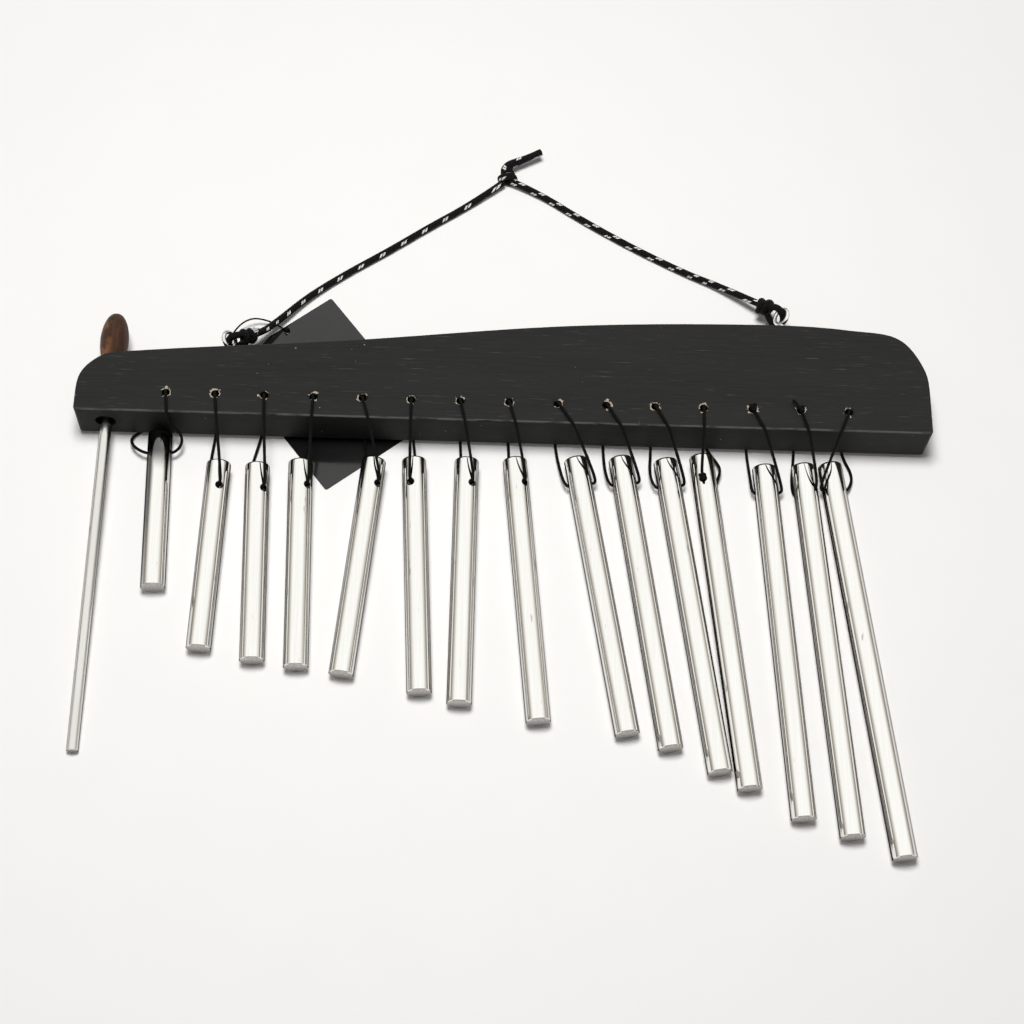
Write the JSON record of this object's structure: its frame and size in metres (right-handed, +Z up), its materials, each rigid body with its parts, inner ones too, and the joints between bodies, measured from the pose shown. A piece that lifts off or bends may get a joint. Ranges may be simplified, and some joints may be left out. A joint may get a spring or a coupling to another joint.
{
  "type": "bar chimes",
  "caption": "Bar chimes: metal rods of rising length hung by thread loops from a flat wooden bar, with a braided hanging cord, a stored beater and a card tag.",
  "frame": {"origin": "middle of the hard pieces' footprint, on the table that the set lies on", "axes": "+X along the bar towards the longest chime, +Y from the chimes towards the hanging cord, +Z up from the table"},
  "size_m": [0.3346, 0.307, 0.0247],
  "materials": {
    "bar_wood": "flat black stain, fine grain",
    "chime_metal": "polished, sawn ends",
    "thread_fabric": "twisted black thread",
    "cord_fabric": "black braid, pale flecks",
    "eye_metal": "bright zinc",
    "beater_metal": "satin",
    "handle_wood": "dark brown, waxed",
    "tag_card": "glossy dark grey"
  },
  "bodies": {
    "bar": {"bar": "bar_wood", "screw_eye_left": "eye_metal", "screw_eye_right": "eye_metal"},
    "beater": {"beater_rod": "beater_metal", "beater_handle": "handle_wood"},
    "hanger": {"cord_left": "cord_fabric", "cord_right": "cord_fabric", "cord_tail": "cord_fabric", "knot_left": "cord_fabric", "knot_right": "cord_fabric", "knot_apex": "cord_fabric"},
    "tag": {"hang_tag": "tag_card", "tag_string": "thread_fabric"},
    "thread_01": {"thread_01": "thread_fabric"},
    "chime_01": {"chime_01": "chime_metal"},
    "thread_02": {"thread_02": "thread_fabric"},
    "chime_02": {"chime_02": "chime_metal"},
    "thread_03": {"thread_03": "thread_fabric"},
    "chime_03": {"chime_03": "chime_metal"},
    "thread_04": {"thread_04": "thread_fabric"},
    "chime_04": {"chime_04": "chime_metal"},
    "thread_05": {"thread_05": "thread_fabric"},
    "chime_05": {"chime_05": "chime_metal"},
    "thread_06": {"thread_06": "thread_fabric"},
    "chime_06": {"chime_06": "chime_metal"},
    "thread_07": {"thread_07": "thread_fabric"},
    "chime_07": {"chime_07": "chime_metal"},
    "thread_08": {"thread_08": "thread_fabric"},
    "chime_08": {"chime_08": "chime_metal"},
    "thread_09": {"thread_09": "thread_fabric"},
    "chime_09": {"chime_09": "chime_metal"},
    "thread_10": {"thread_10": "thread_fabric"},
    "chime_10": {"chime_10": "chime_metal"},
    "thread_11": {"thread_11": "thread_fabric"},
    "chime_11": {"chime_11": "chime_metal"},
    "thread_12": {"thread_12": "thread_fabric"},
    "chime_12": {"chime_12": "chime_metal"},
    "thread_13": {"thread_13": "thread_fabric"},
    "chime_13": {"chime_13": "chime_metal"},
    "thread_14": {"thread_14": "thread_fabric"},
    "chime_14": {"chime_14": "chime_metal"},
    "thread_15": {"thread_15": "thread_fabric"},
    "chime_15": {"chime_15": "chime_metal"}
  },
  "joints": [
    {"name": "beater_slide", "type": "slide", "parent": "bar", "child": "beater", "axis": [0.0076, 0.9983, 0.0574], "range_m": [0, 0.16]},
    {"name": "hanger_swing", "type": "hinge", "parent": "bar", "child": "hanger", "pos_m": [-0.11025, 0.08874, 0.0115], "axis": [0.9966, 0.0829, 0], "range_deg": [0, 40]},
    {"name": "tag_turn", "type": "hinge", "parent": "bar", "child": "tag", "pos_m": [-0.11025, 0.08274, 0.0115], "axis": [0, 0, 1], "range_deg": [-4, 4]},
    {"name": "chime_01_swing", "type": "hinge", "parent": "thread_01", "child": "chime_01", "pos_m": [-0.12832, 0.05085, 0.0115], "axis": [-0.9993, -0.0384, 0], "range_deg": [0, 70], "deforming": ["thread_01"]},
    {"name": "chime_02_swing", "type": "hinge", "parent": "thread_02", "child": "chime_02", "pos_m": [-0.11205, 0.05085, 0.0115], "axis": [-0.9995, 0.0314, 0], "range_deg": [0, 70], "deforming": ["thread_02"]},
    {"name": "chime_03_swing", "type": "hinge", "parent": "thread_03", "child": "chime_03", "pos_m": [-0.09344, 0.05085, 0.0115], "axis": [-0.9994, -0.0349, 0], "range_deg": [0, 70], "deforming": ["thread_03"]},
    {"name": "chime_04_swing", "type": "hinge", "parent": "thread_04", "child": "chime_04", "pos_m": [-0.07501, 0.05085, 0.0115], "axis": [-0.9995, -0.0314, 0], "range_deg": [0, 70], "deforming": ["thread_04"]},
    {"name": "chime_05_swing", "type": "hinge", "parent": "thread_05", "child": "chime_05", "pos_m": [-0.05356, 0.05085, 0.0115], "axis": [-0.9951, 0.0993, 0], "range_deg": [0, 70], "deforming": ["thread_05"]},
    {"name": "chime_06_swing", "type": "hinge", "parent": "thread_06", "child": "chime_06", "pos_m": [-0.03688, 0.05085, 0.0115], "axis": [-0.9986, -0.0523, 0], "range_deg": [0, 70], "deforming": ["thread_06"]},
    {"name": "chime_07_swing", "type": "hinge", "parent": "thread_07", "child": "chime_07", "pos_m": [-0.01588, 0.05085, 0.0115], "axis": [-1, 0.007, 0], "range_deg": [0, 70], "deforming": ["thread_07"]},
    {"name": "chime_08_swing", "type": "hinge", "parent": "thread_08", "child": "chime_08", "pos_m": [0.00381, 0.05085, 0.0115], "axis": [-0.9956, -0.0941, 0], "range_deg": [0, 70], "deforming": ["thread_08"]},
    {"name": "chime_09_swing", "type": "hinge", "parent": "thread_09", "child": "chime_09", "pos_m": [0.02659, 0.05085, 0.0115], "axis": [-0.986, -0.1668, 0], "range_deg": [0, 70], "deforming": ["thread_09"]},
    {"name": "chime_10_swing", "type": "hinge", "parent": "thread_10", "child": "chime_10", "pos_m": [0.04516, 0.05085, 0.0115], "axis": [-0.9893, -0.1461, 0], "range_deg": [0, 70], "deforming": ["thread_10"]},
    {"name": "chime_11_swing", "type": "hinge", "parent": "thread_11", "child": "chime_11", "pos_m": [0.06354, 0.05085, 0.0115], "axis": [-0.9903, -0.1392, 0], "range_deg": [0, 70], "deforming": ["thread_11"]},
    {"name": "chime_12_swing", "type": "hinge", "parent": "thread_12", "child": "chime_12", "pos_m": [0.07733, 0.05085, 0.0115], "axis": [-0.9942, -0.108, 0], "range_deg": [0, 70], "deforming": ["thread_12"]},
    {"name": "chime_13_swing", "type": "hinge", "parent": "thread_13", "child": "chime_13", "pos_m": [0.10128, 0.05085, 0.0115], "axis": [-0.998, -0.0628, 0], "range_deg": [0, 70], "deforming": ["thread_13"]},
    {"name": "chime_14_swing", "type": "hinge", "parent": "thread_14", "child": "chime_14", "pos_m": [0.11833, 0.05085, 0.0115], "axis": [-0.9972, -0.075, 0], "range_deg": [0, 70], "deforming": ["thread_14"]},
    {"name": "chime_15_swing", "type": "hinge", "parent": "thread_15", "child": "chime_15", "pos_m": [0.13056, 0.05085, 0.0115], "axis": [-0.9928, -0.1201, 0], "range_deg": [0, 70], "deforming": ["thread_15"]},
    {"name": "chime_01_sway", "type": "hinge", "parent": "bar", "child": "thread_01", "pos_m": [-0.13215, 0.0595, 0.0115], "axis": [0, 0, 1], "range_deg": [-7, 7.5]},
    {"name": "chime_02_sway", "type": "hinge", "parent": "bar", "child": "thread_02", "pos_m": [-0.1131, 0.0595, 0.0115], "axis": [0, 0, 1], "range_deg": [-7.3, 5.8]},
    {"name": "chime_03_sway", "type": "hinge", "parent": "bar", "child": "thread_03", "pos_m": [-0.09405, 0.0595, 0.0115], "axis": [0, 0, 1], "range_deg": [-5.8, 3.5]},
    {"name": "chime_04_sway", "type": "hinge", "parent": "bar", "child": "thread_04", "pos_m": [-0.075, 0.0595, 0.0115], "axis": [0, 0, 1], "range_deg": [-3.5, 3.9]},
    {"name": "chime_05_sway", "type": "hinge", "parent": "bar", "child": "thread_05", "pos_m": [-0.05595, 0.0595, 0.0115], "axis": [0, 0, 1], "range_deg": [-3.8, 10]},
    {"name": "chime_06_sway", "type": "hinge", "parent": "bar", "child": "thread_06", "pos_m": [-0.0369, 0.0595, 0.0115], "axis": [0, 0, 1], "range_deg": [-10, 2.4]},
    {"name": "chime_07_sway", "type": "hinge", "parent": "bar", "child": "thread_07", "pos_m": [-0.01785, 0.0595, 0.0115], "axis": [0, 0, 1], "range_deg": [-2.4, 9]},
    {"name": "chime_08_sway", "type": "hinge", "parent": "bar", "child": "thread_08", "pos_m": [0.0012, 0.0595, 0.0115], "axis": [0, 0, 1], "range_deg": [-9.1, 10]},
    {"name": "chime_09_sway", "type": "hinge", "parent": "bar", "child": "thread_09", "pos_m": [0.02025, 0.0595, 0.0115], "axis": [0, 0, 1], "range_deg": [-10, 2.2]},
    {"name": "chime_10_sway", "type": "hinge", "parent": "bar", "child": "thread_10", "pos_m": [0.0393, 0.0595, 0.0115], "axis": [0, 0, 1], "range_deg": [-2.3, 2.8]},
    {"name": "chime_11_sway", "type": "hinge", "parent": "bar", "child": "thread_11", "pos_m": [0.05835, 0.0595, 0.0115], "axis": [0, 0, 1], "range_deg": [-2.8, 0]},
    {"name": "chime_12_sway", "type": "hinge", "parent": "bar", "child": "thread_12", "pos_m": [0.0774, 0.0595, 0.0115], "axis": [0, 0, 1], "range_deg": [0, 3.3]},
    {"name": "chime_13_sway", "type": "hinge", "parent": "bar", "child": "thread_13", "pos_m": [0.09645, 0.0595, 0.0115], "axis": [0, 0, 1], "range_deg": [-3.3, 2.5]},
    {"name": "chime_14_sway", "type": "hinge", "parent": "bar", "child": "thread_14", "pos_m": [0.1155, 0.0595, 0.0115], "axis": [0, 0, 1], "range_deg": [-2.5, 2.6]},
    {"name": "chime_15_sway", "type": "hinge", "parent": "bar", "child": "thread_15", "pos_m": [0.13455, 0.0595, 0.0115], "axis": [0, 0, 1], "range_deg": [-2.6, 10]}
  ]
}
